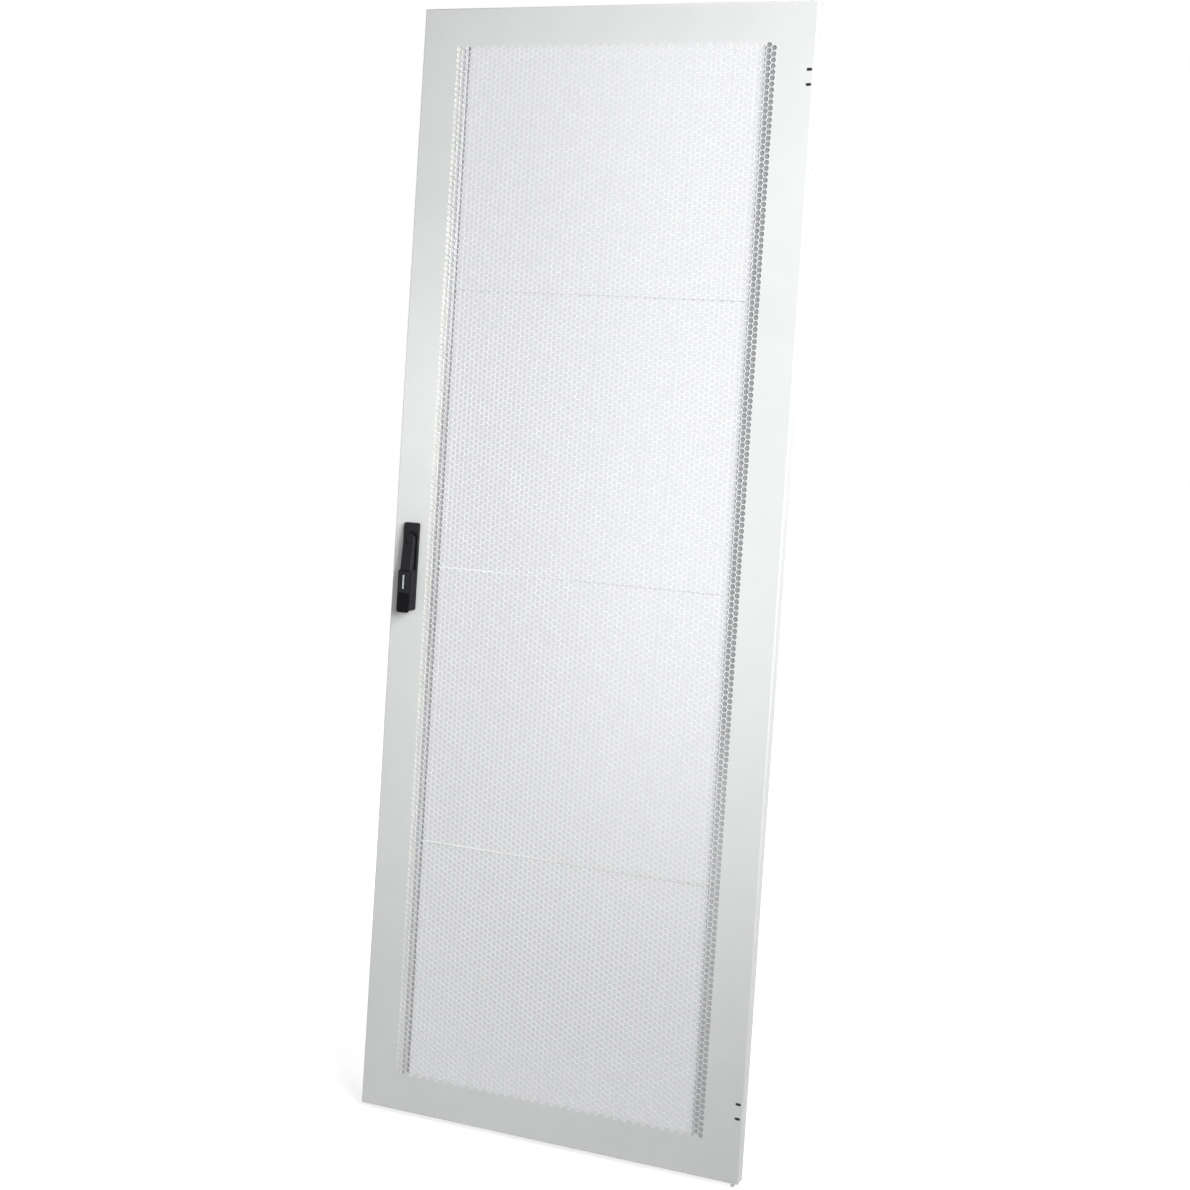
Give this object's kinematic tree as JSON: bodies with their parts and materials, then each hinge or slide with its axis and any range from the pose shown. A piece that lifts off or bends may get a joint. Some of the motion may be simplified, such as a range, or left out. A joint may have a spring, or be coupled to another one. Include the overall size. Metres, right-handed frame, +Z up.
{
  "type": "perforated rack door",
  "caption": "Tall folded steel rack door with a hexagonal vent field, a black swing handle with rod lock, and sprung hinge pins.",
  "frame": {"origin": "on the hinge axis, at the door's lower edge, where the lower hinge pin leaves the shell", "axes": "+X towards the hinge edge, +Y from the front face back towards the rack, +Z up"},
  "size_m": [0.797, 0.0602, 2.22],
  "materials": {
    "painted_steel": "light grey powder coat with a fine texture",
    "zinc_steel": "zinc-plated steel and zinc die-casting",
    "spring_steel": "drawn spring wire",
    "black_plastic": "black glass-filled nylon with a fine grain",
    "grey_inlay": "dark blue-grey plastic",
    "white_bar": "plain white plastic strip",
    "brass_plug": "satin nickel-brass",
    "nylon": "natural nylon",
    "black_rubber": "black rubber"
  },
  "bodies": {
    "door": {"door_panel": "painted_steel", "lock_side_channel": "painted_steel", "hinge_side_channel": "painted_steel", "upper_cross_strip": "painted_steel", "middle_cross_strip": "painted_steel", "lower_cross_strip": "painted_steel", "upper_hinge_bracket": "zinc_steel", "lower_hinge_bracket": "zinc_steel", "upper_pin_spring": "spring_steel", "lower_pin_spring": "spring_steel", "hinge_screws": "zinc_steel", "handle_base": "black_plastic", "base_gasket": "black_rubber", "latch_plate": "zinc_steel", "latch_housing": "zinc_steel", "latch_screws": "zinc_steel", "base_screw": "zinc_steel", "base_washer": "zinc_steel", "upper_rod_guides": "zinc_steel", "lower_rod_guides": "zinc_steel", "upper_rod_liners": "nylon", "lower_rod_liners": "nylon", "earth_stud": "zinc_steel", "earth_washer": "zinc_steel", "earth_nut": "zinc_steel", "rubber_bumpers": "black_rubber"},
    "hub": {"handle_hub": "zinc_steel", "drive_pinion": "zinc_steel", "spindle_washer": "zinc_steel", "spindle_screw": "zinc_steel"},
    "lever_arm": {"lever": "black_plastic", "lever_pivot": "zinc_steel", "hub_cap": "black_plastic", "lock_cylinder": "zinc_steel"},
    "cover": {"lock_cover": "black_plastic", "cover_inlay": "grey_inlay", "inlay_bar": "white_bar"},
    "plug": {"cylinder_plug": "brass_plug", "lock_cam": "zinc_steel"},
    "rod_up": {"upper_rod": "zinc_steel", "upper_roller_stud": "zinc_steel"},
    "rod_down": {"lower_rod": "zinc_steel", "lower_roller_stud": "zinc_steel"},
    "roller_up": {"upper_roller": "nylon"},
    "roller_down": {"lower_roller": "nylon"},
    "pin_up": {"upper_hinge_pin": "zinc_steel", "upper_pin_clip": "zinc_steel"},
    "pin_down": {"lower_hinge_pin": "zinc_steel", "lower_pin_clip": "zinc_steel"}
  },
  "joints": [
    {"name": "handle_swing", "type": "hinge", "parent": "door", "child": "hub", "pos_m": [-0.743, -0.023, 1.152], "axis": [0, -1, 0], "range_deg": [0, 90]},
    {"name": "lever_lift", "type": "hinge", "parent": "hub", "child": "lever_arm", "pos_m": [-0.743, -0.0258, 1.157], "axis": [-1, 0, 0], "range_deg": [0, 22]},
    {"name": "cover_slide", "type": "slide", "parent": "lever_arm", "child": "cover", "axis": [0, 0, 1], "range_m": [0, 0.029]},
    {"name": "key_turn", "type": "hinge", "parent": "lever_arm", "child": "plug", "pos_m": [-0.743, -0.03, 1.0237], "axis": [0, -1, 0], "range_deg": [0, 90]},
    {"name": "upper_rod_slide", "type": "slide", "parent": "door", "child": "rod_up", "axis": [0, 0, -1], "range_m": [0, 0.0145]},
    {"name": "lower_rod_slide", "type": "slide", "parent": "door", "child": "rod_down", "axis": [0, 0, 1], "range_m": [0, 0.0145]},
    {"name": "upper_roller_spin", "type": "hinge", "parent": "rod_up", "child": "roller_up", "pos_m": [-0.765, -0.0001, 2.145], "axis": [1, 0, 0], "continuous": true},
    {"name": "lower_roller_spin", "type": "hinge", "parent": "rod_down", "child": "roller_down", "pos_m": [-0.721, -0.0001, 0.055], "axis": [1, 0, 0], "continuous": true},
    {"name": "upper_pin_slide", "type": "slide", "parent": "door", "child": "pin_up", "axis": [0, 0, -1], "range_m": [0, 0.012], "stiffness_N_per_m": 400, "springref_m": -0.02, "deforming": ["upper_pin_spring"]},
    {"name": "lower_pin_slide", "type": "slide", "parent": "door", "child": "pin_down", "axis": [0, 0, 1], "range_m": [0, 0.012], "stiffness_N_per_m": 400, "springref_m": -0.02, "deforming": ["lower_pin_spring"]}
  ],
  "couplings": [
    {"joint": "upper_rod_slide", "follows": "handle_swing", "m_per_rad": 0.009},
    {"joint": "lower_rod_slide", "follows": "handle_swing", "m_per_rad": 0.009}
  ]
}
